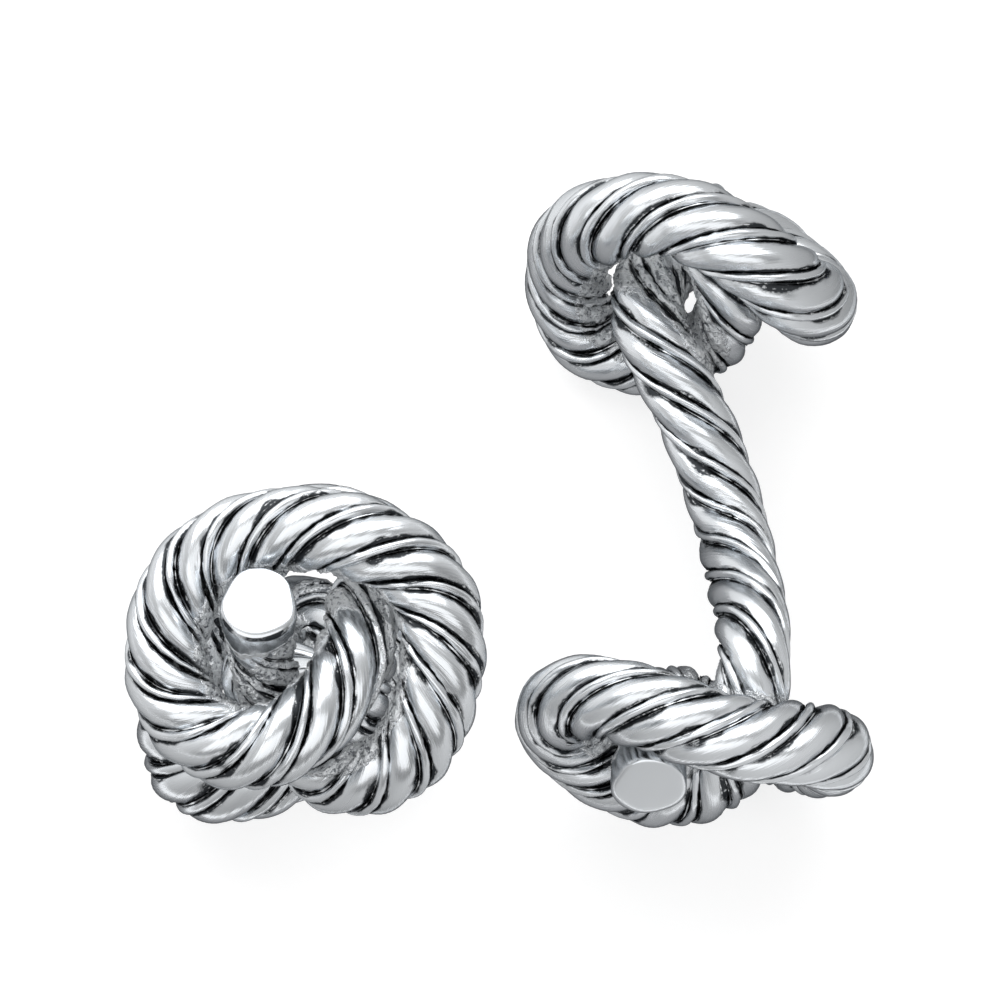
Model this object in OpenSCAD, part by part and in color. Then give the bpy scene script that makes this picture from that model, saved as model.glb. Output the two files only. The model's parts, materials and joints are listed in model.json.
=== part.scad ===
// Pair of rope-knot cufflinks. Each one is a single length of silver wire rope, four thick wires
// with a thin wire in each valley between them, knotted at both ends of a short post.

/* [Rope] */
// Diameter of the rope on the post; the knots grow with it
rope_d = 3.4; // [2.6:0.1:4.2]
// Share of that diameter that the rope swells to where it is wound into a knot
knot_rope_share = 1.13; // [1:0.01:1.15]
// Share of that diameter that the rope has at its two cut ends
end_rope_share = 0.9; // [0.8:0.01:0.95]
// Share of that diameter in which a wire goes once round on the post
post_lay_share = 3.2; // [2.4:0.1:6]
// Share of that diameter in which a wire goes once round in a knot
knot_lay_share = 2.8; // [2.2:0.1:5]
// Gap between neighbouring wires
wire_gap = 0.03; // [0.02:0.01:0.08]

/* [Post] */
// Distance between the middles of the two knots
knot_distance = 20; // [19:0.5:26]

/* [End discs] */
// Thickness of the flat disc that closes a rope end
disc_t = 0.3; // [0.2:0.05:0.6]
// Width of the bevel round a disc
disc_bevel = 0.15; // [0.05:0.01:0.18]
// Wall of the rim that a disc grips the rope with
rim_t = 0.1; // [0.06:0.01:0.2]
// How far that rim reaches back over the rope
rim_h = 0.7; // [0.3:0.1:1]

/* [Pair] */
// Free space between the two cufflinks
pair_gap = 1.15; // [0.5:0.05:20]
// How much further forward the standing cufflink reaches
stand_forward = 4.6; // [-10:0.1:10]

/* [Hidden] */

wire_count = 4;
disc_sides = 96;
// Turns of each cufflink about X, Y and Z on the table
stand_turn = [10.5, 14, -54.5];
lie_turn = [90, 57, -1];

// The route of the rope's middle. A knot's points are shares of the rope's diameter, measured from
// the middle of that knot, with Z along the post.
first_knot_shares = [
    // from the disc in the middle of the knot, out between the post and the ring
    [-0.55, 0.25, -0.75], [-0.25, 0.65, 0.05], [0.4, 0.3, 0.35], [1.1, -0.4, 0.45],
    // once round the ring
    [0.95, -1.4, 0.6], [0.45, -2.1, 0.2], [-0.3, -1.8, -0.4], [-1.1, -1.1, -0.5],
    [-1.65, -0.3, -0.4], [-1.6, 0.65, -0.4], [-1.1, 1.45, 0.1], [-0.25, 1.7, 0.55],
    // over the ring's own start and down through its middle to the post
    [1.0, 1.3, 0.3], [1.45, 0.55, -0.4], [0.9, -0.1, -1.05], [0.1, -0.65, -0.45],
    [-0.35, -0.65, 0.45], [0.1, -0.2, 1.4]
];
// Post: across and along, as shares of the rope's diameter and of the distance between the knots
post_shares = [[0.8, -0.1, -0.09], [0.95, 0.05, 0.045], [0.5, 0.5, 0.19]];
second_knot_shares = [
    [-0.1, 1.05, -1.0], [-0.15, 1.05, -0.15], [0.55, 0.45, 0.35], [0.85, -0.55, 0.55],
    [0.55, -1.4, 0.3], [-0.35, -1.7, -0.1], [-1.3, -1.2, -0.1], [-1.75, -0.35, -0.05],
    [-1.55, 0.65, 0.35], [-0.9, 1.45, 0.7], [-0.05, 1.9, 0.5], [0.75, 1.75, 0.4],
    [1.5, 1.05, 0.15], [1.9, 0.25, -0.15], [1.55, -0.65, -0.65], [0.6, -0.65, -0.75],
    [-0.35, -0.4, -0.2], [-0.8, -0.05, 0.95]
];
route = concat(
    [for (p = first_knot_shares) p * rope_d - [0, 0, knot_distance / 2]],
    [for (p = post_shares) [p.x * rope_d, p.y * rope_d, p.z * knot_distance]],
    [for (p = second_knot_shares) p * rope_d + [0, 0, knot_distance / 2]]
);
rings_per_span = 3;
spans = len(route) - 1;
last_ring = spans * rings_per_span;

// Where the rope swells into the knot and slims to its end, as shares of half the route
swell_from_share = 0.18;
swell_to_share = 0.29;
slim_from_share = 0.73;
slim_to_share = 0.88;

// Smooth step from 0 to 1
function ease(x) = let (c = min(1, max(0, x))) c * c * (3 - 2 * c);
function from_middle(i) = abs(2 * i / last_ring - 1);
function eased(i, from, to) = ease((from_middle(i) - from) / (to - from));
function in_knot(i) = eased(i, swell_from_share, swell_to_share);
function at_end(i) = eased(i, slim_from_share, slim_to_share);
function rope_share(i) =
    1 + (knot_rope_share - 1) * in_knot(i) + (end_rope_share - knot_rope_share) * at_end(i);
function rope_r(i) = rope_d / 2 * rope_share(i);
function lay(i) = rope_d * (post_lay_share + (knot_lay_share - post_lay_share) * in_knot(i));

// Uniform cubic spline through the route, run straight out at both ends
function route_point(k) =
    k < 0 ? 2 * route[0] - route[1] :
    k > spans ? 2 * route[spans] - route[spans - 1] :
    route[k];
function spline(t) = let (
        k = min(spans - 1, floor(t)),
        u = t - k,
        v = 1 - u
    )
    (v * v * v * route_point(k - 1) + (3 * u * u * u - 6 * u * u + 4) * route_point(k)
        + (3 * v * v * v - 6 * v * v + 4) * route_point(k + 1) + u * u * u * route_point(k + 2)) / 6;
function spline_slope(t) = let (
        k = min(spans - 1, floor(t)),
        u = t - k,
        v = 1 - u
    )
    (-v * v * route_point(k - 1) + (3 * u * u - 4 * u) * route_point(k)
        + (-3 * v * v + 4 * v) * route_point(k + 1) + u * u * route_point(k + 2)) / 2;

function unit(v) = v / norm(v);
middle = [for (i = [0 : last_ring]) spline(i / rings_per_span)];
along = [for (i = [0 : last_ring]) unit(spline_slope(i / rings_per_span))];

// Carries a side vector from ring to ring without turning it about the rope (two mirrorings a step)
function mirrored(v, m) = v - 2 * (v * m) / (m * m) * m;
function carried(side, i) = let (
        step = middle[i + 1] - middle[i],
        side_half = mirrored(side, step),
        along_half = mirrored(along[i], step)
    )
    mirrored(side_half, along[i + 1] - along_half);
side_x = [
    for (i = 0, s = unit(cross([0, 0, 1], along[0])); i <= last_ring;
        s = i < last_ring ? carried(s, i) : s, i = i + 1) s
];
side_y = [for (i = [0 : last_ring]) cross(along[i], side_x[i])];

// Angle that the lay has turned by at each ring; it is left-handed
function turn_step(i) = -360 * norm(middle[i + 1] - middle[i]) * 2 / (lay(i) + lay(i + 1));
turned = [
    for (i = 0, a = 0; i <= last_ring; a = i < last_ring ? a + turn_step(i) : a, i = i + 1) a
];

// A point of the rope's cross-section at ring i, at an angle and distance from the rope's middle
function rope_point(i, angle, dist) =
    middle[i] + dist * (cos(angle + turned[i]) * side_x[i] + sin(angle + turned[i]) * side_y[i]);

// Cross-section of the rope as cells that share their edges: four crowned thick wires round a
// square core, and a thin wire let into each valley between them. A corner is an angle from the
// middle of its wire and a distance as a share of the rope's radius.
crown_angle = 14;
crown_share = 1;
shoulder_angle = 34;
shoulder_share = 0.86;
valley_share = 0.52;
thin_top_share = 0.89;
thin_tip_share = 0.57;
wire_step = 360 / wire_count;

// Corner at ring i, drawn away by a length side from the line at the given angle
function cell_point(i, at, angle, dist, side) = rope_point(i, at + angle - side / dist * 180 / PI, dist);
function thick_ring(i, at) = let (
        r = rope_r(i),
        half = wire_gap / 2,
        valley = valley_share * r,
        shoulder = shoulder_share * r,
        crown = crown_share * r
    ) [
        cell_point(i, at, wire_step / 2, valley, half),
        cell_point(i, at, -wire_step / 2, valley, -half),
        cell_point(i, at, -shoulder_angle, shoulder, -half),
        cell_point(i, at, -crown_angle, crown, 0),
        cell_point(i, at, crown_angle, crown, 0),
        cell_point(i, at, shoulder_angle, shoulder, half)
    ];
function thin_ring(i, at) = let (
        r = rope_r(i),
        half = wire_gap / 2,
        tip = thin_tip_share * r,
        top = thin_top_share * r
    ) [
        cell_point(i, at, 0, tip, 0),
        cell_point(i, at, shoulder_angle - wire_step / 2, top, -half),
        cell_point(i, at, wire_step / 2 - shoulder_angle, top, half)
    ];
function core_ring(i) = [
    for (k = [0 : wire_count - 1])
        cell_point(i, 0, (k + 1 / 2) * wire_step, valley_share * rope_r(i) - wire_gap, 0)
];
// 1 for each edge that runs inwards or against the angle. There the skin is split along the other
// diagonal, so that two cells that share an edge are split alike.
thick_back = [1, 0, 0, 0, 0, 1];
thin_back = [0, 0, 1];
core_back = [0, 0, 0, 0];

// Skin of a tube with a ring of corners at each ring of the route
module swept(rings, back) {
    sides = len(rings[0]);
    function strip(i, k) = let (
            a = i * sides + k,
            b = i * sides + (k + 1) % sides,
            c = a + sides,
            d = b + sides
        )
        back[k] == 1 ? [[a, c, b], [b, c, d]] : [[a, d, b], [a, c, d]];
    polyhedron(
        [for (ring = rings) each ring],
        [
            for (i = [0 : last_ring - 1], k = [0 : sides - 1]) each strip(i, k),
            [for (k = [0 : sides - 1]) k],
            [for (k = [sides - 1 : -1 : 0]) last_ring * sides + k]
        ]
    );
}
function thick_rings(n) = [for (i = [0 : last_ring]) thick_ring(i, n * wire_step)];
function thin_rings(n) = [for (i = [0 : last_ring]) thin_ring(i, (n + 1 / 2) * wire_step)];
core_rings = [for (i = [0 : last_ring]) core_ring(i)];

// Flat disc over the rope's end at ring i, out along the given direction, with a rim that grips the rope
module end_disc(i, out) {
    bore = rope_d / 2 * end_rope_share + wire_gap;
    r = bore + rim_t;
    translate(middle[i])
        rotate([0, acos(out.z), atan2(out.y, out.x)])
        rotate_extrude($fn = disc_sides)
        polygon([
            [0, 0], [bore, 0], [bore, -rim_h], [r, -rim_h],
            [r, disc_t - disc_bevel], [r - disc_bevel, disc_t], [0, disc_t]
        ]);
}

// Places on the table: each cufflink is turned, and its own box is measured there
function turn_x(p, a) = [p.x, p.y * cos(a) - p.z * sin(a), p.y * sin(a) + p.z * cos(a)];
function turn_y(p, a) = [p.x * cos(a) + p.z * sin(a), p.y, -p.x * sin(a) + p.z * cos(a)];
function turn_z(p, a) = [p.x * cos(a) - p.y * sin(a), p.x * sin(a) + p.y * cos(a), p.z];
function turned_to(p, turn) = turn_z(turn_y(turn_x(p, turn.x), turn.y), turn.z);
rope_skin = [for (n = [0 : wire_count - 1], ring = thick_rings(n)) each ring];
function low_corner(turn) = let (all = [for (p = rope_skin) turned_to(p, turn)])
    [min([for (p = all) p.x]), min([for (p = all) p.y]), min([for (p = all) p.z])];
function high_corner(turn) = let (all = [for (p = rope_skin) turned_to(p, turn)])
    [max([for (p = all) p.x]), max([for (p = all) p.y]), max([for (p = all) p.z])];
stand_low = low_corner(stand_turn);
stand_high = high_corner(stand_turn);
lie_low = low_corner(lie_turn);
lie_high = high_corner(lie_turn);
stand_size = stand_high - stand_low;
lie_size = lie_high - lie_low;
pair_w = stand_size.x + pair_gap + lie_size.x;
pair_front = min(-stand_forward, 0);
pair_rear = max(stand_size.y - stand_forward, lie_size.y);
pair_corner = [-pair_w / 2, -(pair_front + pair_rear) / 2, 0];
stand_at = pair_corner + [0, -stand_forward, 0] - stand_low;
lie_at = pair_corner + [stand_size.x + pair_gap, 0, 0] - lie_low;

module standing() translate(stand_at) rotate(stand_turn) children();
module lying() translate(lie_at) rotate(lie_turn) children();

module thick_wire(n) color("silver") swept(thick_rings(n), thick_back);
module thin_wire(n) color("gainsboro") swept(thin_rings(n), thin_back);
module core_wire() color("dimgray") swept(core_rings, core_back);
module first_end_disc() color("whitesmoke") end_disc(0, -along[0]);
module second_end_disc() color("whitesmoke") end_disc(last_ring, along[last_ring]);

standing() thick_wire(0);  // standing_thick_wire_1
standing() thick_wire(1);  // standing_thick_wire_2
standing() thick_wire(2);  // standing_thick_wire_3
standing() thick_wire(3);  // standing_thick_wire_4
standing() thin_wire(0);  // standing_thin_wire_1
standing() thin_wire(1);  // standing_thin_wire_2
standing() thin_wire(2);  // standing_thin_wire_3
standing() thin_wire(3);  // standing_thin_wire_4
standing() core_wire();  // standing_core_wire
standing() first_end_disc();  // standing_lower_end_disc
standing() second_end_disc();  // standing_upper_end_disc
lying() thick_wire(0);  // lying_thick_wire_1
lying() thick_wire(1);  // lying_thick_wire_2
lying() thick_wire(2);  // lying_thick_wire_3
lying() thick_wire(3);  // lying_thick_wire_4
lying() thin_wire(0);  // lying_thin_wire_1
lying() thin_wire(1);  // lying_thin_wire_2
lying() thin_wire(2);  // lying_thin_wire_3
lying() thin_wire(3);  // lying_thin_wire_4
lying() core_wire();  // lying_core_wire
lying() first_end_disc();  // lying_rear_end_disc
lying() second_end_disc();  // lying_front_end_disc
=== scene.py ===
"""Lays silver wire rope into a pair of knot cufflinks, one standing and one lying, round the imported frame."""

import json
import math

import bpy
import numpy as np
from mathutils import Euler, Matrix, Vector


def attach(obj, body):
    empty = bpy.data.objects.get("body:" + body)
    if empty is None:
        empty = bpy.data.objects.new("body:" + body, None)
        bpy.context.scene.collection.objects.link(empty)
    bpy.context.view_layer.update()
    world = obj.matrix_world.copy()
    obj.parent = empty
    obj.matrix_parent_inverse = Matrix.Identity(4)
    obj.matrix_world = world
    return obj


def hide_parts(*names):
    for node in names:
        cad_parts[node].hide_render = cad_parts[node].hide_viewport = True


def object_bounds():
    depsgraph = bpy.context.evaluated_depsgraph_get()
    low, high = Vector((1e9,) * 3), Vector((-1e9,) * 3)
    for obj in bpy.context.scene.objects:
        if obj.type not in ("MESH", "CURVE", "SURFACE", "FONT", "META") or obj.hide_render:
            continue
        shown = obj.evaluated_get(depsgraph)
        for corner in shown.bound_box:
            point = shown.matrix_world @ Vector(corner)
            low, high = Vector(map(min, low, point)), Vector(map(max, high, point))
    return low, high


bl_info = {
    "name": "Rope-Knot Cufflinks",
    "version": (1, 0, 0),
    "blender": (4, 5, 0),
    "location": "View3D > Sidebar > Cufflinks",
    "description": "Lays silver wire rope into a pair of knot cufflinks and sets them on a studio table",
    "category": "Object",
}

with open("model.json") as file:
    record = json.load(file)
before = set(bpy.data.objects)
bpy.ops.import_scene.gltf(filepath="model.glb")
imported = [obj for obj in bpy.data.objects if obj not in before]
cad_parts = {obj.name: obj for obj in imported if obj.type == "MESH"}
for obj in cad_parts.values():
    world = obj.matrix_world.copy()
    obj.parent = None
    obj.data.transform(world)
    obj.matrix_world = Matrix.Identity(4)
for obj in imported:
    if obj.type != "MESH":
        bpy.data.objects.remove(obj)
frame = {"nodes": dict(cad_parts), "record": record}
CAD_LOW, CAD_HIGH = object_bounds()

MM = 0.001

# The route of the rope's middle. A knot's points are shares of the rope's diameter, measured from the
# middle of that knot, with Z along the post.
FIRST_KNOT = [
    # from the disc in the middle of the knot, out between the post and the ring
    (-0.55, 0.25, -0.75), (-0.25, 0.65, 0.05), (0.4, 0.3, 0.35), (1.1, -0.4, 0.45),
    # once round the ring
    (0.95, -1.4, 0.6), (0.45, -2.1, 0.2), (-0.3, -1.8, -0.4), (-1.1, -1.1, -0.5),
    (-1.65, -0.3, -0.4), (-1.6, 0.65, -0.4), (-1.1, 1.45, 0.1), (-0.25, 1.7, 0.55),
    # over the ring's own start and down through its middle to the post
    (1.0, 1.3, 0.3), (1.45, 0.55, -0.4), (0.9, -0.1, -1.05), (0.1, -0.65, -0.45),
    (-0.35, -0.65, 0.45), (0.1, -0.2, 1.4),
]
# Post: across and along, as shares of the rope's diameter and of the distance between the knots
POST = [(0.8, -0.1, -0.09), (0.95, 0.05, 0.045), (0.5, 0.5, 0.19)]
SECOND_KNOT = [
    (-0.1, 1.05, -1.0), (-0.15, 1.05, -0.15), (0.55, 0.45, 0.35), (0.85, -0.55, 0.55),
    (0.55, -1.4, 0.3), (-0.35, -1.7, -0.1), (-1.3, -1.2, -0.1), (-1.75, -0.35, -0.05),
    (-1.55, 0.65, 0.35), (-0.9, 1.45, 0.7), (-0.05, 1.9, 0.5), (0.75, 1.75, 0.4),
    (1.5, 1.05, 0.15), (1.9, 0.25, -0.15), (1.55, -0.65, -0.65), (0.6, -0.65, -0.75),
    (-0.35, -0.4, -0.2), (-0.8, -0.05, 0.95),
]
# How each cufflink is turned on the table, in degrees, and the record's datum that places it
CUFFLINKS = {
    "standing": {"turn": (10.5, 14, -54.5), "datum": "standing_upper_disc_face",
                 "discs": ("standing_lower_end_disc", "standing_upper_end_disc")},
    "lying": {"turn": (90, 57, -1), "datum": "lying_front_disc_face",
              "discs": ("lying_rear_end_disc", "lying_front_end_disc")},
}
WIRES = 4
STEP = math.tau / WIRES


class RopeSizes(bpy.types.PropertyGroup):
    """Sizes of the wire rope and of the knots that it is wound into."""

    diameter: bpy.props.FloatProperty(
        name="Rope diameter", description="Diameter of the rope on the post",
        default=3.4 * MM, unit="LENGTH", precision=5)
    knot_share: bpy.props.FloatProperty(
        name="Knot swell", description="Rope diameter in a knot as a share of that on the post",
        default=1.13)
    end_share: bpy.props.FloatProperty(
        name="End share", description="Rope diameter at a cut end as a share of that on the post",
        default=0.9)
    post_lay: bpy.props.FloatProperty(
        name="Post lay", description="Rope diameters in which a wire goes once round on the post",
        default=3.2)
    knot_lay: bpy.props.FloatProperty(
        name="Knot lay", description="Rope diameters in which a wire goes once round in a knot",
        default=2.8)
    knot_distance: bpy.props.FloatProperty(
        name="Knot distance", description="Distance between the middles of the two knots",
        default=20 * MM, unit="LENGTH", precision=5)
    disc_thickness: bpy.props.FloatProperty(
        name="Disc thickness", description="Thickness of the disc that closes a rope end",
        default=0.3 * MM, unit="LENGTH", precision=5)
    rim_gap: bpy.props.FloatProperty(
        name="Rim gap", description="Gap between the rope and the rim of its end disc",
        default=0.03 * MM, unit="LENGTH", precision=6)
    rim_wall: bpy.props.FloatProperty(
        name="Rim wall", description="Wall of the rim that a disc grips the rope with",
        default=0.1 * MM, unit="LENGTH", precision=6)
    solder_height: bpy.props.FloatProperty(
        name="Solder height", description="How far the solder runs down the wires from the disc",
        default=1.8 * MM, unit="LENGTH", precision=5)


class WireShapes(bpy.types.PropertyGroup):
    """Cross-sections of the wires, as shares of the rope's radius."""

    thick_radius: bpy.props.FloatProperty(
        name="Thick radius", description="Radius of a thick wire",
        default=0.483)
    thick_middle: bpy.props.FloatProperty(
        name="Thick middle", description="Distance of a thick wire's middle from the rope's middle",
        default=0.5)
    thin_radius: bpy.props.FloatProperty(
        name="Thin radius", description="Radius of a thin wire",
        default=0.175)
    thin_middle: bpy.props.FloatProperty(
        name="Thin middle", description="Distance of a thin wire's middle from the rope's middle",
        default=0.775)
    thin_angle: bpy.props.FloatProperty(
        name="Thin angle", description="Angle from a thick wire to the thin wire that lies against it",
        default=math.radians(39.5), subtype="ANGLE")
    groove_floor: bpy.props.FloatProperty(
        name="Groove floor", description="Distance from the rope's middle at which the core shows",
        default=0.82)


class SilverFinish(bpy.types.PropertyGroup):
    """Colours, gloss and relief of the silver, with the painted shade in its creases and a painted dark
    reflection at its outlines.
    """

    bright: bpy.props.FloatVectorProperty(
        name="Bright silver", description="Colour of the polished wires",
        subtype="COLOR", default=(0.895, 0.925, 0.955))
    oxide: bpy.props.FloatVectorProperty(
        name="Oxidised silver", description="Colour of the tarnish in the recesses",
        subtype="COLOR", default=(0.285, 0.3, 0.32))
    worn: bpy.props.FloatVectorProperty(
        name="Worn silver", description="Colour of the light specks in the recesses",
        subtype="COLOR", default=(0.955, 0.98, 1.0))
    # Painted shade: the near black laid into the grooves and creases, on the core and under the discs' edges
    crease_shade: bpy.props.FloatVectorProperty(
        name="Groove black", description="Colour at the foot of the grooves",
        subtype="COLOR", default=(0.055, 0.06, 0.066))
    # Painted dark reflection: this dark tint darkens the silver at glancing angles, so that every outline is
    # drawn dark
    edge: bpy.props.FloatVectorProperty(
        name="Edge tint", description="Tint of the silver where it is seen at a glancing angle",
        subtype="COLOR", default=(0.19, 0.2, 0.21))
    polish: bpy.props.FloatProperty(
        name="Roughness", description="Roughness of the polished wires",
        default=0.25)
    mark_length: bpy.props.FloatProperty(
        name="Mark length", description="Length of the drawing marks along a wire",
        default=3 * MM, unit="LENGTH", precision=5)
    mark_width: bpy.props.FloatProperty(
        name="Mark width", description="Width of the drawing marks",
        default=0.14 * MM, unit="LENGTH", precision=6)
    wave_size: bpy.props.FloatProperty(
        name="Wave size", description="Length of the unevenness that hand work leaves",
        default=1.8 * MM, unit="LENGTH", precision=5)
    wave_depth: bpy.props.FloatProperty(
        name="Wave depth", description="Height of that unevenness",
        default=0.12 * MM, unit="LENGTH", precision=6)
    pit_size: bpy.props.FloatProperty(
        name="Pit size", description="Size of the pits in the recesses",
        default=0.3 * MM, unit="LENGTH", precision=5)
    pit_depth: bpy.props.FloatProperty(
        name="Pit depth", description="Height of the pits in the recesses",
        default=0.3 * MM, unit="LENGTH", precision=5)
    grain: bpy.props.FloatProperty(
        name="Recess grain", description="Size of the specks in the recesses",
        default=0.3 * MM, unit="LENGTH", precision=5)


class StudioSettings(bpy.types.PropertyGroup):
    """Camera and lamps."""

    elevation: bpy.props.FloatProperty(
        name="Elevation", description="Camera's height above the horizon",
        default=math.radians(72), subtype="ANGLE")
    frame_width: bpy.props.FloatProperty(
        name="Frame width", description="Width of the picture at the cufflinks",
        default=42.5 * MM, unit="LENGTH", precision=5)
    lens: bpy.props.FloatProperty(
        name="Lens", description="Focal length in millimetres",
        default=1500)
    key: bpy.props.FloatProperty(
        name="Key brightness", description="Brightness of the lamp above and behind, where 1 is white",
        default=1.4)
    fill: bpy.props.FloatProperty(
        name="Fill brightness", description="Brightness of the lamp above and before, where 1 is white",
        default=0.8)


# Route, swelling and lay of the rope

# Where the rope swells into the knot and slims to its end, as shares of half the route
SWELL = (0.18, 0.29)
SLIM = (0.73, 0.88)
# Stretches that each span of the route is measured in, for the lay
CHORDS_PER_SPAN = 3


def control_points(rope):
    """The route's points in metres, with one more at each end that runs the rope straight out."""
    d = rope.diameter
    half = Vector((0, 0, rope.knot_distance / 2))
    points = [Vector(p) * d - half for p in FIRST_KNOT]
    points += [Vector((x * d, y * d, z * rope.knot_distance)) for x, y, z in POST]
    points += [Vector(p) * d + half for p in SECOND_KNOT]
    return [2 * points[0] - points[1]] + points + [2 * points[-1] - points[-2]]


def spline(points, t):
    """Uniform cubic spline through the control points, from t = 0 at the rope's first end."""
    k = min(len(points) - 4, int(t))
    u = t - k
    v = 1 - u
    return (v ** 3 * points[k] + (3 * u ** 3 - 6 * u * u + 4) * points[k + 1]
            + (3 * v ** 3 - 6 * v * v + 4) * points[k + 2] + u ** 3 * points[k + 3]) / 6


def ease(x):
    """Smooth step from 0 to 1."""
    x = min(1.0, max(0.0, x))
    return x * x * (3 - 2 * x)


def in_knot(t, spans):
    """0 on the post and 1 in a knot."""
    return ease((abs(2 * t / spans - 1) - SWELL[0]) / (SWELL[1] - SWELL[0]))


def at_end(t, spans):
    """0 up to the last turn of a knot and 1 at the rope's end."""
    return ease((abs(2 * t / spans - 1) - SLIM[0]) / (SLIM[1] - SLIM[0]))


def swelling(rope, t, spans):
    """Rope diameter at t, as a share of that on the post."""
    return (1 + (rope.knot_share - 1) * in_knot(t, spans)
            + (rope.end_share - rope.knot_share) * at_end(t, spans))


def lay_angles(rope, points):
    """Angle that the lay has turned by at each control point; it is left-handed."""
    spans = len(points) - 3
    steps = spans * CHORDS_PER_SPAN
    lays = [rope.diameter * (rope.post_lay + (rope.knot_lay - rope.post_lay)
                             * in_knot(i / CHORDS_PER_SPAN, spans)) for i in range(steps + 1)]
    places = [spline(points, i / CHORDS_PER_SPAN) for i in range(steps + 1)]
    turned = [0.0]
    for i in range(steps):
        chord = (places[i + 1] - places[i]).length
        turned.append(turned[-1] - math.tau * chord * 2 / (lays[i] + lays[i + 1]))
    at_points = turned[::CHORDS_PER_SPAN]
    run = [2 * at_points[0] - at_points[1]] + at_points + [2 * at_points[-1] - at_points[-2]]
    # the spline smooths what it is given, so each angle is overdrawn by what that takes away
    sharp = [run[k] - (run[k - 1] - 2 * run[k] + run[k + 1]) / 6 for k in range(1, len(run) - 1)]
    return [run[0]] + sharp + [run[-1]]


# Cross-sections, as (angle, distance) from the rope's middle, the distance in shares of the rope's radius

# Crowns: the degrees about the wire's own middle between which its round side shows, and its points
THICK_CROWN = (-76, 58, 21)
THIN_CROWN = (-66, 88, 11)
# Flanks down to the core and back up, from the crown's last point to its first, in degrees
THICK_FLANKS = ((31, 0.72), (36, 0.53), (0, 0.5), (-42, 0.53))
THIN_FLANKS = ((48, 0.66), (45.5, 0.56), (38, 0.56), (33, 0.72))
# The core's rib in a groove: up one side, the degrees of the groove's floor, and down the other side
RIB_UP = ((0, 0.47), (40, 0.5), (46.2, 0.54), (50.3, 0.7))
RIB_FLOOR = (51.8, 53.6)
RIB_DOWN = ((51.2, 0.7), (47, 0.52))


def arc(middle_angle, middle_dist, radius, crown):
    """The part of a wire's own circle that shows."""
    start, stop, count = crown
    centre = middle_dist * np.array((math.cos(middle_angle), math.sin(middle_angle)))
    points = []
    for a in np.linspace(math.radians(start), math.radians(stop), count):
        p = centre + radius * np.array((math.cos(middle_angle + a), math.sin(middle_angle + a)))
        points.append((math.atan2(p[1], p[0]), float(np.hypot(*p))))
    return points


def degrees(*pairs):
    """(degrees, distance) pairs as (radians, distance) pairs."""
    return [(math.radians(a), dist) for a, dist in pairs]


def thick_section(shape):
    """A thick wire's crown, with straight flanks down to the core."""
    return arc(0, shape.thick_middle, shape.thick_radius, THICK_CROWN) + degrees(*THICK_FLANKS)


def thin_section(shape):
    """A thin wire's crown, with straight flanks down to the core."""
    crown = arc(shape.thin_angle, shape.thin_middle, shape.thin_radius, THIN_CROWN)
    return crown + degrees(*THIN_FLANKS)


def core_section(shape):
    """A square core with a rib that stands in each groove."""
    rib = degrees(*RIB_UP, *((a, shape.groove_floor) for a in RIB_FLOOR), *RIB_DOWN)
    return [(a + k * STEP, dist) for k in range(WIRES) for a, dist in rib]


# Making a wire: a path along the rope's middle, swept with the wire's section

# Rings of a wire for each span of the route
PATH_STEPS = 16
# Distance below which two points of a seam are one
SEAM_GAP = 1e-7
# Degrees from which an edge is shaded sharp
SHARP_EDGE = 35


def deselect():
    """Leaves nothing selected."""
    bpy.ops.object.select_all(action="DESELECT")


def activate(piece):
    """Selects this object alone and makes it active."""
    deselect()
    piece.select_set(True)
    bpy.context.view_layer.objects.active = piece


def section_curve(corners, radius):
    """A closed outline to sweep. The path looks at it from behind, so X runs the other way."""
    outline = bpy.data.curves.new("section", "CURVE")
    line = outline.splines.new("POLY")
    line.points.add(len(corners) - 1)
    for point, (angle, dist) in zip(line.points, corners):
        point.co = (-radius * dist * math.cos(angle), radius * dist * math.sin(angle), 0, 1)
    line.use_cyclic_u = True
    holder = bpy.data.objects.new("section", outline)
    bpy.context.scene.collection.objects.link(holder)
    return holder


def swept_wire(name, rope, corners, turn):
    """One wire of the rope as a mesh, turned about the rope's middle by the given angle."""
    points = control_points(rope)
    spans = len(points) - 3
    angles = lay_angles(rope, points)
    deselect()
    bpy.ops.curve.primitive_nurbs_path_add()
    wire = bpy.context.object
    wire.name = name
    path = wire.data
    line = path.splines[0]
    line.points.add(len(points) - len(line.points))
    for k, (point, place) in enumerate(zip(line.points, points)):
        point.co = (*place, 1)
        point.radius = swelling(rope, k - 1, spans)
        point.tilt = angles[k] + turn
    line.use_endpoint_u = False
    line.order_u = 4
    line.resolution_u = PATH_STEPS
    path.resolution_u = PATH_STEPS
    path.twist_mode = "MINIMUM"
    section = section_curve(corners, rope.diameter / 2)
    path.bevel_mode = "OBJECT"
    path.bevel_object = section
    path.use_fill_caps = True
    activate(wire)
    bpy.ops.object.convert(target="MESH")
    outline = section.data
    bpy.data.objects.remove(section)
    bpy.data.curves.remove(outline)
    return wire


def merged(piece):
    """Closes the seams of a piece and turns its faces outwards."""
    activate(piece)
    bpy.ops.object.mode_set(mode="EDIT")
    bpy.ops.mesh.select_all(action="SELECT")
    bpy.ops.mesh.remove_doubles(threshold=SEAM_GAP)
    bpy.ops.mesh.normals_make_consistent(inside=False)
    bpy.ops.object.mode_set(mode="OBJECT")


def smooth(piece):
    """Shades a piece smooth, apart from its sharp edges."""
    activate(piece)
    bpy.ops.object.shade_smooth_by_angle(angle=math.radians(SHARP_EDGE))


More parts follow.
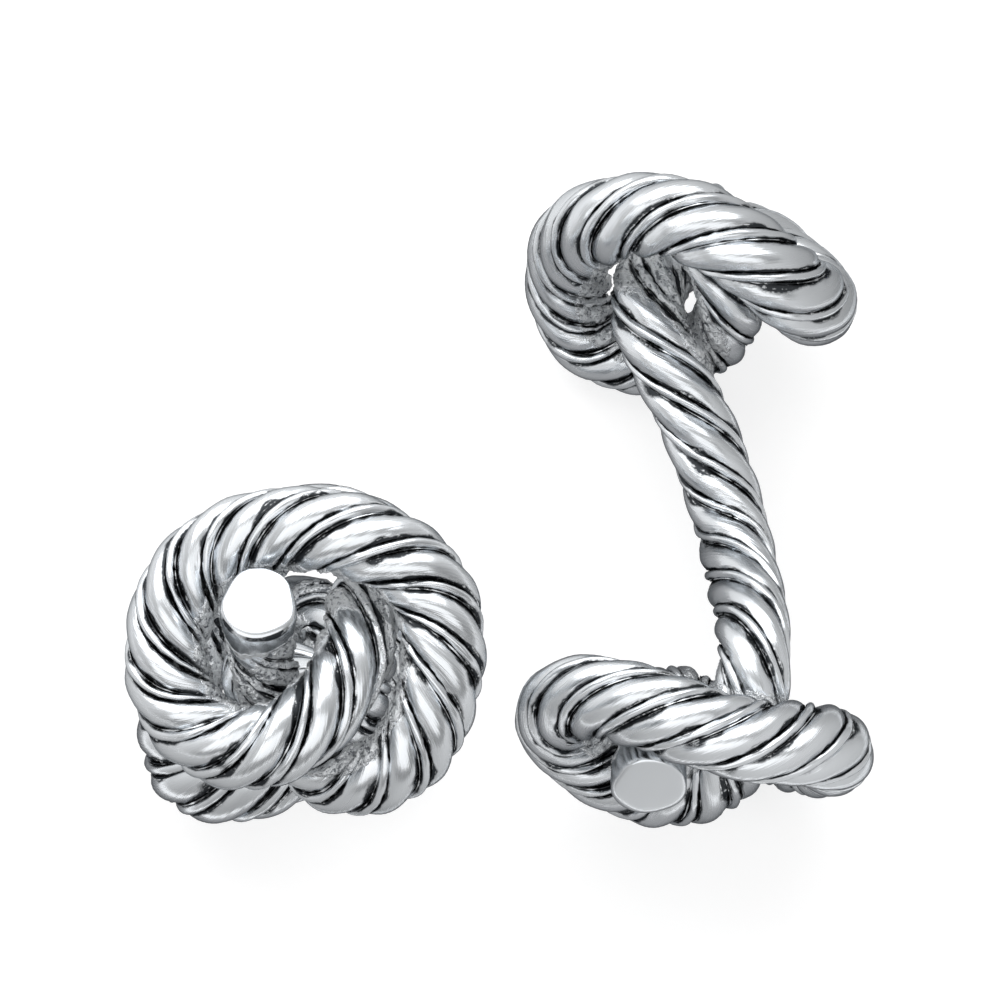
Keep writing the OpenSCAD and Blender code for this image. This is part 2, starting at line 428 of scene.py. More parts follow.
def place_matrix(rope, which):
    """Turns a cufflink's rope as on the table and moves it to its datum in the record."""
    spec = CUFFLINKS[which]
    turn = Euler([math.radians(a) for a in spec["turn"]], "XYZ").to_matrix()
    points = control_points(rope)
    end = points[-2]
    out = (points[-1] - points[-2]).normalized()
    face = end + out * rope.disc_thickness
    datum = next(m for m in frame["record"]["mounts"] if m["name"] == spec["datum"])
    return Matrix.Translation(Vector(datum["pos_m"]) - turn @ face) @ turn.to_4x4()


def copies_in_place(wire, rope, parts):
    """Puts a copy of the piece into each cufflink, as the CAD node of that part."""
    made = []
    for which, part in zip(CUFFLINKS, parts):
        deselect()
        piece = wire.copy()
        piece.data = wire.data.copy()
        bpy.context.scene.collection.objects.link(piece)
        piece.name = f"{part}_silver"
        piece.data.transform(place_matrix(rope, which))
        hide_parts(part)
        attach(piece, "root")
        made.append(piece)
    source = wire.data
    bpy.data.objects.remove(wire)
    bpy.data.meshes.remove(source)
    return made


# Materials

# What a noise is on average
MEAN = 0.5
# Where each pattern of the finish, and the painted shade in the grooves, starts and where it is full
TARNISH = (0.35, 0.65)
WORN_SPECKS = (0.39, 0.48)
SHADE_STOPS = (0.55, 0.8)
GLINTS = (0.54, 0.62)
# How many times coarser than the specks the drift and the patches are
DRIFT_COARSER = 4
PATCHES_COARSER = 5
# How much each pattern shifts the edge of the tarnish, and of the painted shade in the grooves
SPECKS_IN_TARNISH = 0.7
DRIFT_IN_TARNISH = 0.5
PATCHES_IN_SHADE = 2.2
SPECKS_IN_SHADE = 0.5
# Level of the patches' noise at which they neither add painted shade to a groove nor take it off
SHADE_PATCHES_MIDDLE = 0.52
# What the patterns take off the metal, and what they take off the roughness or add to it
TARNISH_ON_METAL = 0.5
TARNISH_POLISH = 0.05
SHADE_ROUGHNESS = 0.2
MARKS_ROUGHNESS = 0.15
# Height of the bump, and the share of it that the faint patterns have
RELIEF = 0.2 * MM
DRIFT_RELIEF = 0.02
MARKS_RELIEF = 0.08
# Rubbing marks of a disc
RUBBING_SIZE = 1.2 * MM
RUBBING_ROUGHNESS = 0.08
RUBBING_STRENGTH = 0.2
RUBBING_RELIEF = 0.02 * MM


class Value:
    """A socket that adds Math nodes when it is used in an expression."""

    def __init__(self, tree, socket):
        self.tree = tree
        self.socket = socket

    def _math(self, operation, *values):
        made = self.tree.nodes.new("ShaderNodeMath")
        made.operation = operation
        for slot, value in zip(made.inputs, values):
            plug(self.tree, slot, value)
        return Value(self.tree, made.outputs[0])

    def __add__(self, other):
        return self._math("ADD", self, other)

    def __radd__(self, other):
        return self._math("ADD", other, self)

    def __sub__(self, other):
        return self._math("SUBTRACT", self, other)

    def __rsub__(self, other):
        return self._math("SUBTRACT", other, self)

    def __mul__(self, other):
        return self._math("MULTIPLY", self, other)

    def __rmul__(self, other):
        return self._math("MULTIPLY", other, self)


def plug(tree, slot, value):
    """Links a Value to a slot, or a socket, or sets the slot to a plain value."""
    if isinstance(value, Value):
        tree.links.new(value.socket, slot)
    elif isinstance(value, bpy.types.NodeSocket):
        tree.links.new(value, slot)
    else:
        slot.default_value = value


def add_node(tree, kind, settings=None, inputs=None, output=0):
    """Adds a node, sets its settings, then its inputs, and gives one of its outputs."""
    made = tree.nodes.new(kind)
    for key, value in (settings or {}).items():
        if key == "stops":
            ramp = made.color_ramp
            while len(ramp.elements) < len(value):
                ramp.elements.new(0.5)
            for element, (position, grey) in zip(ramp.elements, value):
                element.position = position
                element.color = (grey, grey, grey, 1)
        else:
            setattr(made, key, value)
    for key, value in (inputs or {}).items():
        plug(tree, made.inputs[key], value)
    return Value(tree, made.outputs[output])


def noise(tree, place, scale, detail, roughness):
    """A cloudy pattern."""
    return add_node(tree, "ShaderNodeTexNoise", None,
                    {"Vector": place, "Scale": scale, "Detail": detail, "Roughness": roughness})


def between(tree, limits, value):
    """0 where the value is at the first limit or below, and 1 where it is at the second or above."""
    start, full = limits
    return add_node(tree, "ShaderNodeValToRGB", {"stops": [(start, 0.0), (full, 1.0)]}, {"Fac": value})


def mixed(tree, share, first, second):
    """One colour, and that share of the other."""
    return add_node(tree, "ShaderNodeMix", {"data_type": "RGBA"},
                    {"Factor": share, 6: first, 7: second}, output=2)


def colour(rgb):
    """A colour with its alpha."""
    return (*rgb, 1.0)


def wire_silver(finish):
    """Polished silver with drawing marks, mottled in the recesses, with painted shade, near black, in patches
    of the grooves and under the discs' edges.
    """
    material = bpy.data.materials.new("polished_wire_silver")
    material.use_nodes = True
    tree = material.node_tree
    shader = tree.nodes["Principled BSDF"]
    place = add_node(tree, "ShaderNodeTexCoord", output=3)
    recess, groove, along, around = [
        add_node(tree, "ShaderNodeAttribute", {"attribute_name": name}, output=2)
        for name in ("recess", "groove", "along", "around")]
    grain = 1 / finish.grain
    specks = noise(tree, place, grain, detail=3.0, roughness=0.7)
    drift = noise(tree, place, grain / DRIFT_COARSER, detail=2.0, roughness=0.5)
    patches = noise(tree, place, grain / PATCHES_COARSER, detail=1.0, roughness=0.5)
    stretched = add_node(tree, "ShaderNodeCombineXYZ", None,
                         {"X": along * (1 / finish.mark_length), "Y": around * (1 / finish.mark_width)})
    marks = noise(tree, stretched, 1.0, detail=2.0, roughness=0.6)

    dull = recess + (specks - MEAN) * SPECKS_IN_TARNISH + (drift - MEAN) * DRIFT_IN_TARNISH
    tarnish = between(tree, TARNISH, dull)
    light = between(tree, WORN_SPECKS, specks)
    mottled = mixed(tree, light, colour(finish.oxide), colour(finish.worn))
    cleaned = mixed(tree, tarnish, colour(finish.bright), mottled)
    # Painted shade: near black at the foot of the grooves and under the discs' edges, broken into patches and
    # flecked with the worn colour where the glints are
    shade_level = groove + (patches - SHADE_PATCHES_MIDDLE) * PATCHES_IN_SHADE + (specks - MEAN) * SPECKS_IN_SHADE
    shade_mask = between(tree, SHADE_STOPS, shade_level)
    glint = between(tree, GLINTS, marks * 0.5 + specks * 0.5)
    shade_colour = mixed(tree, glint, colour(finish.crease_shade), colour(finish.worn))

    plug(tree, shader.inputs["Base Color"], mixed(tree, shade_mask, cleaned, shade_colour))
    plug(tree, shader.inputs["Metallic"], 1 - tarnish * TARNISH_ON_METAL)
    # Painted dark reflection at glancing angles, from the dark edge tint
    shader.inputs["Specular Tint"].default_value = colour(finish.edge)
    plug(tree, shader.inputs["Roughness"], finish.polish - tarnish * TARNISH_POLISH
         + shade_mask * SHADE_ROUGHNESS + (marks - MEAN) * MARKS_ROUGHNESS)
    height = specks * tarnish + drift * DRIFT_RELIEF + marks * MARKS_RELIEF
    bump = add_node(tree, "ShaderNodeBump", None, {"Strength": 1.0, "Distance": RELIEF, "Height": height})
    plug(tree, shader.inputs["Normal"], bump)
    return material


def disc_silver(finish):
    """Flat polished silver with faint rubbing marks."""
    material = bpy.data.materials.new("flat_disc_silver")
    material.use_nodes = True
    tree = material.node_tree
    shader = tree.nodes["Principled BSDF"]
    place = add_node(tree, "ShaderNodeTexCoord", output=3)
    rubbing = noise(tree, place, 1 / RUBBING_SIZE, detail=3.0, roughness=0.55)
    shader.inputs["Base Color"].default_value = colour(finish.bright)
    shader.inputs["Metallic"].default_value = 1.0
    # Painted dark reflection at glancing angles, from the dark edge tint
    shader.inputs["Specular Tint"].default_value = colour(finish.edge)
    plug(tree, shader.inputs["Roughness"], finish.polish + (rubbing - MEAN) * RUBBING_ROUGHNESS)
    bump = add_node(tree, "ShaderNodeBump", None,
                    {"Strength": RUBBING_STRENGTH, "Distance": RUBBING_RELIEF, "Height": rubbing})
    plug(tree, shader.inputs["Normal"], bump)
    return material


def finished(name, maker):
    """The material of that name, made once."""
    return bpy.data.materials.get(name) or maker(bpy.context.scene.silver_finish)


# Recesses, pits, unevenness and the painted shade in the creases

# How hidden a point is where the polish starts to fail, and where it never came
SHELTER = (0.32, 0.8)
# Places at which each span of the route hides other points, and points that are worked out at once
SHELTER_STEPS = 6
POINTS_AT_ONCE = 4000
# How much a groove's foot is pitted, where a recess is 1
GROOVE_PITS = 0.5
PIT_LEVELS = 10
# Shares of their height at which the waves and the pits leave the surface where it is
WAVES_STILL = 0.85
PITS_STILL = 0.5
# Where the painted shade in the creases ends, as a distance from the rope's middle, and the stretch over which
# it fades: beside a groove, and where a thin wire touches a thick one
THICK_SHADE = (0.97, 0.18)
THIN_SHADE = (0.97, 0.16)
TOUCHING_SHADE = (0.96, 0.1)
# Angle at which a thin wire is highest, and the distance from which the core's rib shows
THIN_CREST = math.radians(45)
RIB_SHOWS = 0.75
# Painted shade on top of a core's rib, where elsewhere on the core it is 1
RIB_SHADE = 0.7


def shelter(rope, coords, middles_own):
    """How much of the sky the rope's other turns hide from each point, where a wheel can't polish it."""
    points = control_points(rope)
    spans = len(points) - 3
    places = [i / SHELTER_STEPS for i in range(spans * SHELTER_STEPS + 1)]
    middles = np.array([spline(points, t) for t in places])
    radii = np.array([rope.diameter / 2 * swelling(rope, t, spans) for t in places])
    outward = coords - middles_own
    outward /= np.linalg.norm(outward, axis=1, keepdims=True)
    hidden = np.zeros(len(coords))
    for start in range(0, len(coords), POINTS_AT_ONCE):
        part = slice(start, start + POINTS_AT_ONCE)
        to_turn = middles[None, :, :] - coords[part, None, :]
        away = np.linalg.norm(to_turn, axis=2)
        facing = np.einsum("nmk,nk->nm", to_turn, outward[part]) / away
        hidden[part] = (np.clip(facing, 0, 1) * (radii[None, :] / away) ** 2).sum(axis=1)
    return hidden / SHELTER_STEPS


def rise(values, low, high):
    """Smooth step from 0 at low to 1 at high, for an array."""
    share = np.clip((values - low) / (high - low), 0, 1)
    return share * share * (3 - 2 * share)


def store(piece, layers):
    """Stores a value for each point under each name, for the materials."""
    for name, values in layers.items():
        layer = piece.data.attributes.new(name, "FLOAT", "POINT")
        layer.data.foreach_set("value", values.astype(np.float32))


def mark_recess(wire, rope, corners, crease_shade):
    """Stores how much painted shade, how hidden and how far along and round the wire each point lies."""
    mesh = wire.data
    sides = len(corners)
    coords = np.empty(len(mesh.vertices) * 3)
    mesh.vertices.foreach_get("co", coords)
    coords = coords.reshape(-1, 3)
    points = control_points(rope)
    spans = len(points) - 3
    # the mesh has the rings of its two end caps first
    rings = len(coords) // sides - 2
    places = np.concatenate(([spans, 0.0], np.linspace(0, spans, rings)))
    middles = np.array([spline(points, t) for t in places])
    steps = np.linalg.norm(np.diff(middles[2:], axis=0), axis=1)
    lengths = np.concatenate(([steps.sum(), 0.0, 0.0], np.cumsum(steps)))
    outline = np.array([(d * math.cos(a), d * math.sin(a)) for a, d in corners])
    sides_passed = np.linalg.norm(np.diff(outline, axis=0), axis=1).cumsum() * rope.diameter / 2
    # The groove attribute holds the painted shade of each corner of the section
    groove = np.tile(np.array([crease_shade(a, d) for a, d in corners]), rings + 2)
    recess = rise(shelter(rope, coords, np.repeat(middles, sides, axis=0)), *SHELTER)
    store(wire, {"groove": groove, "recess": recess, "along": np.repeat(lengths, sides),
                 "around": np.tile(np.concatenate(([0.0], sides_passed)), rings + 2)})
    mark_pits(wire, np.maximum(recess, GROOVE_PITS * groove))


def mark_pits(piece, shares):
    """Groups the points by how deep the pits are there."""
    group = piece.vertex_groups.new(name="pitted")
    for level in range(1, PIT_LEVELS + 1):
        chosen = np.nonzero(np.round(shares * PIT_LEVELS) == level)[0]
        group.add(chosen.tolist(), level / PIT_LEVELS, "REPLACE")


def displaced(piece, texture, size, height, still, group=""):
    """Moves the surface in and out by a cloudy pattern, which leaves it still at that share of its height."""
    clouds = bpy.data.textures.get(texture) or bpy.data.textures.new(texture, "CLOUDS")
    clouds.noise_scale = size
    clouds.noise_depth = 1
    activate(piece)
    bpy.ops.object.modifier_add(type="DISPLACE")
    displace = piece.modifiers[-1]
    displace.texture = clouds
    displace.texture_coords = "LOCAL"
    displace.vertex_group = group
    displace.strength = height
    displace.mid_level = still
    bpy.ops.object.modifier_apply(modifier=displace.name)


def pitted(piece, finish):
    """Pits the metal where polishing couldn't reach."""
    displaced(piece, "cast_pits", finish.pit_size, finish.pit_depth, PITS_STILL, "pitted")
    piece.vertex_groups.clear()


def crease_shade_at(dist, end, fade):
    """How much painted shade a point gets at that distance from the rope's middle, from -1 to 1."""
    return min(1.0, max(-1.0, (end - dist) / fade))


def thick_crease_shade(angle, dist):
    """Painted shade on a thick wire: broad beside the groove, and narrow where the thin wire touches it."""
    return crease_shade_at(dist, *(THICK_SHADE if angle < 0 else TOUCHING_SHADE))


def thin_crease_shade(angle, dist):
    """Painted shade on a thin wire: broad beside the groove, and narrow where it touches the thick wire."""
    return crease_shade_at(dist, *(THIN_SHADE if angle > THIN_CREST else TOUCHING_SHADE))


def core_crease_shade(angle, dist):
    """Painted shade on the core: everywhere, and a little less on top of a rib."""
    return RIB_SHADE if dist > RIB_SHOWS else 1.0


# Wires

def lay_wire_set(part, corners, crease_shade):
    """Lays the four like wires of both cufflinks."""
    rope = bpy.context.scene.rope_sizes
    finish = bpy.context.scene.silver_finish
    for k in range(WIRES):
        wire = swept_wire(f"{part}_{k + 1}", rope, corners, k * STEP)
        mark_recess(wire, rope, corners, crease_shade)
        merged(wire)
        displaced(wire, "hand_waves", finish.wave_size, finish.wave_depth, WAVES_STILL)
        pitted(wire, finish)
        smooth(wire)
        wire.data.materials.append(finished("polished_wire_silver", wire_silver))
        for piece in copies_in_place(wire, rope, [f"{which}_{part}_{k + 1}" for which in CUFFLINKS]):
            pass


class CUFFLINK_OT_thick_wires(bpy.types.Operator):
    """Lay the four thick wires of each cufflink"""

    bl_idname = "cufflink.thick_wires"
    bl_label = "Lay Thick Wires"

    def execute(self, context):
        lay_wire_set("thick_wire", thick_section(context.scene.wire_shapes), thick_crease_shade)
        return {"FINISHED"}


class CUFFLINK_OT_thin_wires(bpy.types.Operator):
    """Lay a thin wire against each thick one"""

    bl_idname = "cufflink.thin_wires"
    bl_label = "Lay Thin Wires"

    def execute(self, context):
        lay_wire_set("thin_wire", thin_section(context.scene.wire_shapes), thin_crease_shade)
        return {"FINISHED"}


class CUFFLINK_OT_core_wire(bpy.types.Operator):
    """Draw the core wire that shows in the grooves, with painted shade all over it"""

    bl_idname = "cufflink.core_wire"
    bl_label = "Draw Core Wire"

    def execute(self, context):
        rope = context.scene.rope_sizes
        corners = core_section(context.scene.wire_shapes)
        core = swept_wire("core_wire", rope, corners, 0.0)
        mark_recess(core, rope, corners, core_crease_shade)
        merged(core)
        pitted(core, context.scene.silver_finish)
        smooth(core)
        core.data.materials.append(finished("polished_wire_silver", wire_silver))
        for piece in copies_in_place(core, rope, [f"{which}_core_wire" for which in CUFFLINKS]):
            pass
        return {"FINISHED"}


# End discs

CAP_SIDES = 96
# The solder's outline from the disc's underside outwards: radius, in lips beyond the rope, and depth, as a
# share of the solder's height. A lip is half of the rim's wall.
SOLDER_OUTLINE = ((-1, 0), (-2, 1), (-1, 1), (0, 0.85), (1, 0.6), (2, 0.3))
# Rings on the disc's underside and on its face, as shares of the rope's radius there
UNDER_RING = 0.3
FACE_RINGS = (0.7, 0.4)
# Rounding of the disc's edge and the rings across it
EDGE_ROUND = 0.28 * MM
EDGE_RINGS = 9
# Share of the rope's radius outside which the disc's edge is uneven
EDGE_FROM = 0.75
# Side of a cap on which its edge is most rounded and its seam's painted shade is darkest, as an angle round the
# rope
LOW_SIDE = math.radians(94)
# Unevenness of a cap round its edge: how many waves, where they start and how high they are
OUTLINE_WAVES = ((2, 0.4, 0.04), (3, 3.0, 0.035), (5, 1.0, 0.015))
EDGE_WAVES = ((1, 0.0, 0.45), (3, 2.1, 0.2), (5, 4.0, 0.1))
FOOT_WAVES = ((2, 0.6, 0.12), (3, 2.1, 0.1), (7, 4.0, 0.06))
# Share of the solder's height at which its foot starts to be rough, and where it is as rough as can be
ROUGH_FOOT = (0.6, 1.0)
# Darkness of the painted shade in the seam below the edge, and the shares of the disc's thickness where it ends
# and where the disc's own silver starts
SEAM_SHADE = 0.95
SEAM_TOP = 0.6
FACE_FROM = 0.9
# Steps in which the route is followed back from an end, and how far ahead a direction is taken
BACK_STEP = 0.01
BACK_AHEAD = 0.02
END_AHEAD = 0.05


def uneven(angle, waves):
    """1 on average, and more or less round a cap."""
    return 1 + sum(height * math.cos(count * (angle - LOW_SIDE) + start) for count, start, height in waves)


def back_along(points, end, way, distance):
    """The route's point at a distance from its end, and its direction there towards that end."""
    t = end
    here = spline(points, t)
    while distance > 0:
        ahead = spline(points, t + way * BACK_STEP)
        step = (ahead - here).length
        t += way * BACK_STEP * min(1.0, distance / step)
        distance -= step
        here = ahead
    near = spline(points, t)
    return near, (near - spline(points, t + way * BACK_AHEAD)).normalized()


def cap_radii(rope):
    """Radius of the rope's end with its gap, and that of the rim round it."""
    bore = rope.diameter / 2 * rope.end_share + rope.rim_gap
    return bore, bore + rope.rim_wall


def cap_profile(rope):
    """Outline of a cap from the middle of its underside to the middle of its face, as (radius, height)."""
    bore, outer = cap_radii(rope)
    top = rope.disc_thickness
    lip = rope.rim_wall / 2
    profile = [(UNDER_RING * bore, 0)]
    profile += [(bore + lips * lip, -share * rope.solder_height) for lips, share in SOLDER_OUTLINE]
    for a in np.linspace(0, math.pi / 2, EDGE_RINGS):
        profile.append((outer - EDGE_ROUND * (1 - math.cos(a)), top - EDGE_ROUND * (1 - math.sin(a))))
    return profile + [(share * bore, top) for share in FACE_RINGS]


def round_cap(profile):
    """A round piece of that profile, extruded and resized ring by ring from a small circle."""
    deselect()
    bpy.ops.mesh.primitive_circle_add(vertices=CAP_SIDES, radius=profile[0][0], fill_type="NGON")
    cap = bpy.context.object
    bpy.ops.object.mode_set(mode="EDIT")
    bpy.ops.mesh.select_all(action="SELECT")
    for (r, z), (r_next, z_next) in zip(profile, profile[1:]):
        bpy.ops.mesh.extrude_region_move(TRANSFORM_OT_translate={"value": (0, 0, z_next - z)})
        bpy.ops.transform.resize(value=(r_next / r, r_next / r, 1))
    bpy.ops.object.mode_set(mode="OBJECT")
    merged(cap)
    return cap


def fit_cap(cap, rope, points, end, way):
    """Makes a round cap uneven and bends it along the rope's end."""
    bore, outer = cap_radii(rope)
    out = (spline(points, end) - spline(points, end + way * END_AHEAD)).normalized()
    side = out.to_track_quat("Z", "Y") @ Vector((1, 0, 0))
    for v in cap.data.vertices:
        r = math.hypot(v.co.x, v.co.y)
        angle = math.atan2(v.co.y, v.co.x)
        if v.co.z > 0 and r > EDGE_FROM * bore:
            v.co.xy *= (outer - (outer - r) * uneven(angle, EDGE_WAVES)) / r
        v.co.xy *= 1 + (uneven(angle, OUTLINE_WAVES) - 1) * ease(1 + v.co.z / rope.solder_height)
        if v.co.z < 0:
            v.co.z *= uneven(angle, FOOT_WAVES)
        back = max(0.0, -v.co.z)
        middle, tangent = back_along(points, end, way, back)
        u = (side - side.dot(tangent) * tangent).normalized()
        w = tangent.cross(u)
        v.co = middle + u * v.co.x + w * v.co.y + tangent * (v.co.z + back)


def rope_cap(rope, points, end, way):
    """Disc on the rope's end at that place of the route, with the solder that runs from it down the wires."""
    cap = round_cap(cap_profile(rope))
    top = rope.disc_thickness
    heights = [v.co.z for v in cap.data.vertices]
    angles = [math.atan2(v.co.y, v.co.x) for v in cap.data.vertices]
    fit_cap(cap, rope, points, end, way)
    rough = rise(-np.array(heights) / rope.solder_height, *ROUGH_FOOT)
    # Painted shade along the seam under the disc's edge, darkest on the low side
    seam = []
    for z, angle in zip(heights, angles):
        crease_shade = SEAM_SHADE * math.sqrt(max(0.0, math.cos(angle - LOW_SIDE)))
        seam.append(crease_shade if 0 <= z < SEAM_TOP * top else 0.0)
    store(cap, {"recess": rough, "groove": np.array(seam)})
    mark_pits(cap, rough)
    cap.data.materials.append(finished("flat_disc_silver", disc_silver))
    cap.data.materials.append(finished("polished_wire_silver", wire_silver))
    for face in cap.data.polygons:
        if min(heights[k] for k in face.vertices) < FACE_FROM * top:
            face.material_index = 1
    return cap


class CUFFLINK_OT_end_discs(bpy.types.Operator):
    """Close the rope's ends with polished discs"""

    bl_idname = "cufflink.end_discs"
    bl_label = "Close Rope Ends"

    def execute(self, context):
        rope = context.scene.rope_sizes
        points = control_points(rope)
        spans = len(points) - 3
        for k, (end, way) in enumerate(((0, 1), (spans, -1))):
            cap = rope_cap(rope, points, end, way)
            pitted(cap, context.scene.silver_finish)
            smooth(cap)
            for piece in copies_in_place(cap, rope, [spec["discs"][k] for spec in CUFFLINKS.values()]):
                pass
        return {"FINISHED"}


# Studio

PICTURE_PX = 1000
# Where the middle of the pair's outline lies in the photograph
PAIR_MIDDLE_PX = (501, 500.5)
# Nearest and farthest that the camera sees, as shares of its distance
CLIP_NEAR = 0.5
CLIP_FAR = 20

TABLE_SIZE = 4
TABLE_GREY = 0.5
TABLE_GLOW = 0.7

# Ring of cards round the set and a grey card under it, with the heights that they start at
CARD_RADIUS = 28 * MM
CARD_HEIGHT = 24 * MM
CARD_START = 0.2 * MM
UNDER_RADIUS = 23 * MM
UNDER_START = 0.1 * MM
UNDER_GREY = (0.35, 0.35, 0.355)
CARD_SIDES = 64
# The ring's level: in the middle, and what it gains upwards, to the back, and loses to the right and towards
# the back right and front left
CARD_MIDDLE = 0.56
CARD_UP = 0.15
CARD_BACK = 0.14
CARD_RIGHT = 0.12
CARD_CORNERS = 0.4
# Greys at those levels, as (level, grey)
CARD_GREYS = [(0.0, 0.06), (0.2, 0.16), (0.5, 0.5), (1.0, 0.85)]

# The air's level, from the front to the back and a little from the right to the left, and its greys
AIR_MIDDLE = 0.5
AIR_BACK = 0.5
AIR_RIGHT = 0.12
AIR_GREYS = [(0.0, 0.25), (0.2, 0.26), (0.4, 0.42), (0.6, 0.56), (0.8, 0.68), (1.0, 0.75)]

# Lamps: how far away, in which direction from the set's middle, and how large in metres
LAMP_REACH = 120 * MM
KEY_WAY = (-0.1, 0.58, 0.81)
KEY_SIZE = (0.22, 0.13)
FILL_WAY = (-0.1, -0.62, 0.78)
FILL_SIZE = (0.2, 0.1)


def bare_material(name):
    """A material with no nodes yet."""
    material = bpy.data.materials.new(name)
    material.use_nodes = True
    material.node_tree.nodes.clear()
    return material


def put_out(tree, kind, result):
    """Ends a node tree in its output node."""
    plug(tree, tree.nodes.new(kind).inputs["Surface"], result)


def parts_of(tree, vector):
    """X, Y and Z of a vector."""
    split = tree.nodes.new("ShaderNodeSeparateXYZ")
    plug(tree, split.inputs[0], vector)
    return [Value(tree, socket) for socket in split.outputs]


def table_white():
    """Pale table that the camera and the silver see as white, with the object's shadow on it."""
    material = bare_material("studio_floor")
    tree = material.node_tree
    rays = tree.nodes.new("ShaderNodeLightPath")
    seen = add_node(tree, "ShaderNodeMath", {"operation": "MAXIMUM"},
                    {0: rays.outputs["Is Camera Ray"], 1: rays.outputs["Is Glossy Ray"]})
    lit = add_node(tree, "ShaderNodeBsdfDiffuse", None, {"Color": (TABLE_GREY, TABLE_GREY, TABLE_GREY, 1)})
    glow = add_node(tree, "ShaderNodeEmission", None, {"Color": (1, 1, 1, 1), "Strength": seen * TABLE_GLOW})
    both = add_node(tree, "ShaderNodeAddShader", None, {0: lit, 1: glow})
    put_out(tree, "ShaderNodeOutputMaterial", both)
    return material


def card_greys():
    """Greys of the ring of cards: lightest at the back left, darkest at the back right and front left."""
    material = bare_material("studio_cards")
    tree = material.node_tree
    x, y, z = parts_of(tree, add_node(tree, "ShaderNodeTexCoord", output=3))
    across = x * (1 / CARD_RADIUS)
    deep = y * (1 / CARD_RADIUS)
    height = z * (1 / CARD_HEIGHT)
    level = (height * CARD_UP - across * CARD_RIGHT - across * deep * CARD_CORNERS
             + deep * CARD_BACK + CARD_MIDDLE)
    tone = add_node(tree, "ShaderNodeValToRGB", {"stops": CARD_GREYS}, {"Fac": level})
    glow = add_node(tree, "ShaderNodeEmission", None, {"Color": tone, "Strength": 1.0})
    put_out(tree, "ShaderNodeOutputMaterial", glow)
    return material


def under_grey():
    """Grey of the card under the set, which gives the silver its darker undersides."""
    material = bare_material("studio_dark_card")
    tree = material.node_tree
    glow = add_node(tree, "ShaderNodeEmission", None, {"Color": colour(UNDER_GREY), "Strength": 1.0})
    put_out(tree, "ShaderNodeOutputMaterial", glow)
    return material


def set_card(card, name, material):
    """Names a card and shows it to reflections only."""
    card.name = name
    activate(card)
    bpy.ops.object.transform_apply(location=True)
    card.data.materials.append(material)
    card.visible_camera = False
    card.visible_diffuse = False
    card.visible_shadow = False
    card.visible_transmission = False


def set_cards():
    """Open ring of cards round the set and a flat one under it, for the silver to reflect."""
    deselect()
    bpy.ops.mesh.primitive_cylinder_add(
        vertices=CARD_SIDES, radius=CARD_RADIUS, depth=CARD_HEIGHT, end_fill_type="NOTHING",
        location=(0, 0, CARD_HEIGHT / 2 + CARD_START))
    set_card(bpy.context.object, "studio_cards", card_greys())
    deselect()
    bpy.ops.mesh.primitive_circle_add(
        vertices=CARD_SIDES, radius=UNDER_RADIUS, fill_type="NGON", location=(0, 0, UNDER_START))
    set_card(bpy.context.object, "studio_dark_card", under_grey())


def aim(thing, target):
    """Turns a lamp or camera to look at a point, with the picture's top upwards."""
    thing.rotation_euler = (target - thing.location).to_track_quat("-Z", "Y").to_euler()


def area_lamp(name, way, target, size, brightness):
    """A soft lamp that looks as bright as this in the silver."""
    deselect()
    bpy.ops.object.light_add(type="AREA", location=target + Vector(way) * LAMP_REACH)
    lamp = bpy.context.object
    lamp.name = name
    lamp.data.shape = "RECTANGLE"
    lamp.data.size, lamp.data.size_y = size
    lamp.data.energy = math.pi * size[0] * size[1] * brightness
    aim(lamp, target)


def set_world():
    """Studio air that is dark on the camera's side and light behind the set."""
    world = bpy.data.worlds.new("studio")
    bpy.context.scene.world = world
    world.use_nodes = True
    tree = world.node_tree
    tree.nodes.clear()
    x, y, _ = parts_of(tree, add_node(tree, "ShaderNodeTexCoord", output=0))
    level = y * AIR_BACK - x * AIR_RIGHT + AIR_MIDDLE
    tone = add_node(tree, "ShaderNodeValToRGB", {"stops": AIR_GREYS}, {"Fac": level})
    air = add_node(tree, "ShaderNodeBackground", None, {"Color": tone, "Strength": 1.0})
    put_out(tree, "ShaderNodeOutputWorld", air)


def set_camera(studio):
    """A long lens at the photograph's angle, with the pair's outline where the photograph has it."""
    tilt = studio.elevation
    right = Vector((1, 0, 0))
    up = Vector((0, math.sin(tilt), math.cos(tilt)))
    back = Vector((0, -math.cos(tilt), math.sin(tilt)))
    corners = [vertex.co for node in frame["nodes"].values() for vertex in node.data.vertices]
    middles = []
    for axis in (right, up, back):
        reaches = [corner.dot(axis) for corner in corners]
        middles.append((min(reaches) + max(reaches)) / 2)
    pixel = studio.frame_width / PICTURE_PX
    target = (right * (middles[0] - (PAIR_MIDDLE_PX[0] - PICTURE_PX / 2) * pixel)
              + up * (middles[1] + (PAIR_MIDDLE_PX[1] - PICTURE_PX / 2) * pixel)
              + back * middles[2])
    deselect()
    bpy.ops.object.camera_add()
    camera = bpy.context.object
    camera.name = "photo_camera"
    camera.data.lens = studio.lens
    distance = studio.frame_width * studio.lens / camera.data.sensor_width
    camera.location = target + back * distance
    aim(camera, target)
    camera.data.clip_start = distance * CLIP_NEAR
    camera.data.clip_end = distance * CLIP_FAR
    bpy.context.scene.camera = camera
    bpy.context.scene.view_settings.view_transform = "Standard"


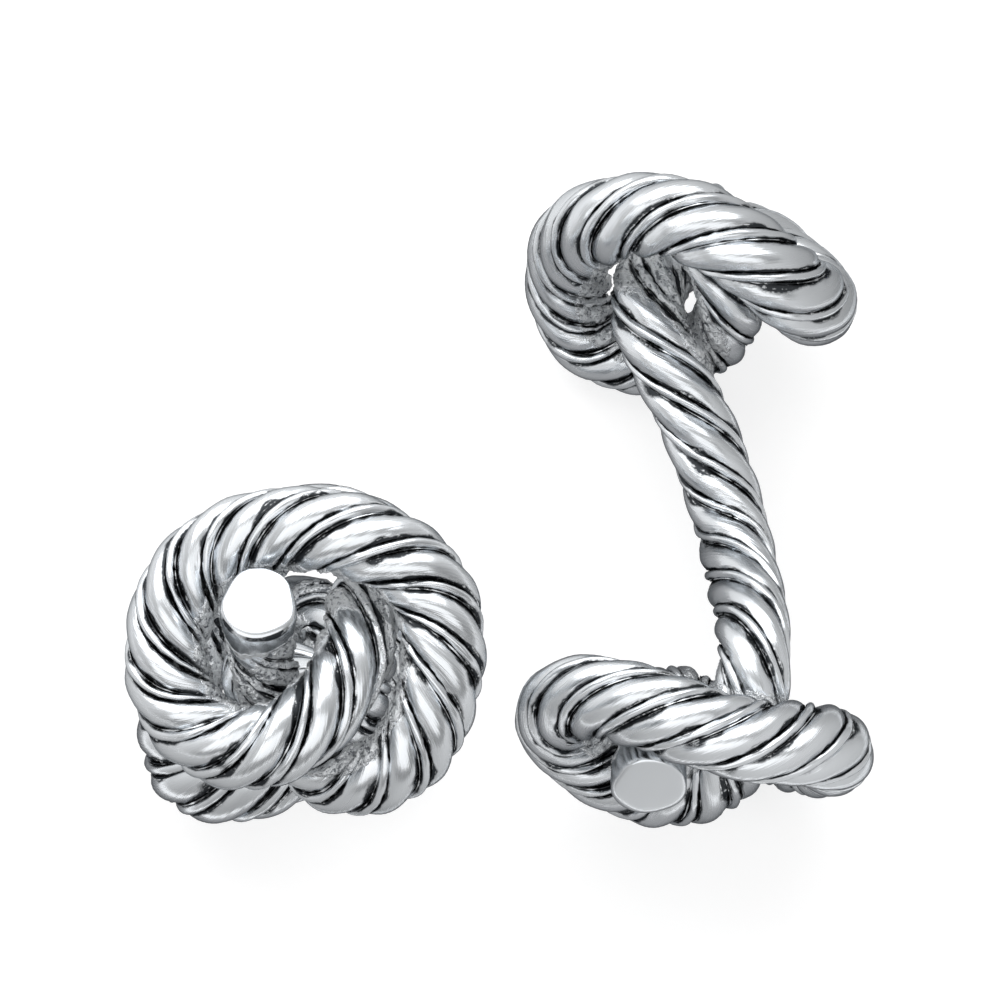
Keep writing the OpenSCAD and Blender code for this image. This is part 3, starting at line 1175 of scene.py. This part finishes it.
class CUFFLINK_OT_studio(bpy.types.Operator):
    """Set the table, the cards, the lamps and the camera"""

    bl_idname = "cufflink.studio"
    bl_label = "Set Studio"

    def execute(self, context):
        studio = context.scene.studio_settings
        middle = (Vector(CAD_LOW) + Vector(CAD_HIGH)) / 2
        deselect()
        bpy.ops.mesh.primitive_plane_add(size=TABLE_SIZE, location=(0, 0, 0))
        table = context.object
        table.name = "studio_table"
        table.data.materials.append(table_white())
        set_cards()
        area_lamp("key_lamp", KEY_WAY, middle, KEY_SIZE, studio.key)
        area_lamp("fill_lamp", FILL_WAY, middle, FILL_SIZE, studio.fill)
        set_world()
        set_camera(studio)
        return {"FINISHED"}


# Panel and registration

class CUFFLINK_PT_panel(bpy.types.Panel):
    """Lists the settings and the steps that make the cufflinks"""

    bl_label = "Rope-Knot Cufflinks"
    bl_idname = "CUFFLINK_PT_panel"
    bl_space_type = "VIEW_3D"
    bl_region_type = "UI"
    bl_category = "Cufflinks"

    def draw(self, context):
        for group in GROUPS:
            settings = getattr(context.scene, group)
            for name in type(settings).__annotations__:
                self.layout.prop(settings, name)
        for operator in OPERATORS:
            self.layout.operator(operator.bl_idname)


GROUPS = {"rope_sizes": RopeSizes, "wire_shapes": WireShapes, "silver_finish": SilverFinish,
          "studio_settings": StudioSettings}
OPERATORS = (CUFFLINK_OT_thick_wires, CUFFLINK_OT_thin_wires, CUFFLINK_OT_core_wire, CUFFLINK_OT_end_discs,
             CUFFLINK_OT_studio)


def register():
    """Adds the settings, the operators and the panel to Blender."""
    for kind in (*GROUPS.values(), *OPERATORS, CUFFLINK_PT_panel):
        bpy.utils.register_class(kind)
    for name, kind in GROUPS.items():
        setattr(bpy.types.Scene, name, bpy.props.PointerProperty(type=kind))


def unregister():
    """Takes them out again."""
    for name in GROUPS:
        delattr(bpy.types.Scene, name)
    for kind in (CUFFLINK_PT_panel, *reversed(OPERATORS), *reversed(GROUPS.values())):
        bpy.utils.unregister_class(kind)


def main():
    """Makes the whole pair."""
    register()
    bpy.ops.cufflink.thick_wires()
    bpy.ops.cufflink.thin_wires()
    bpy.ops.cufflink.core_wire()
    bpy.ops.cufflink.end_discs()
    bpy.ops.cufflink.studio()


if __name__ == "__main__":
    main()
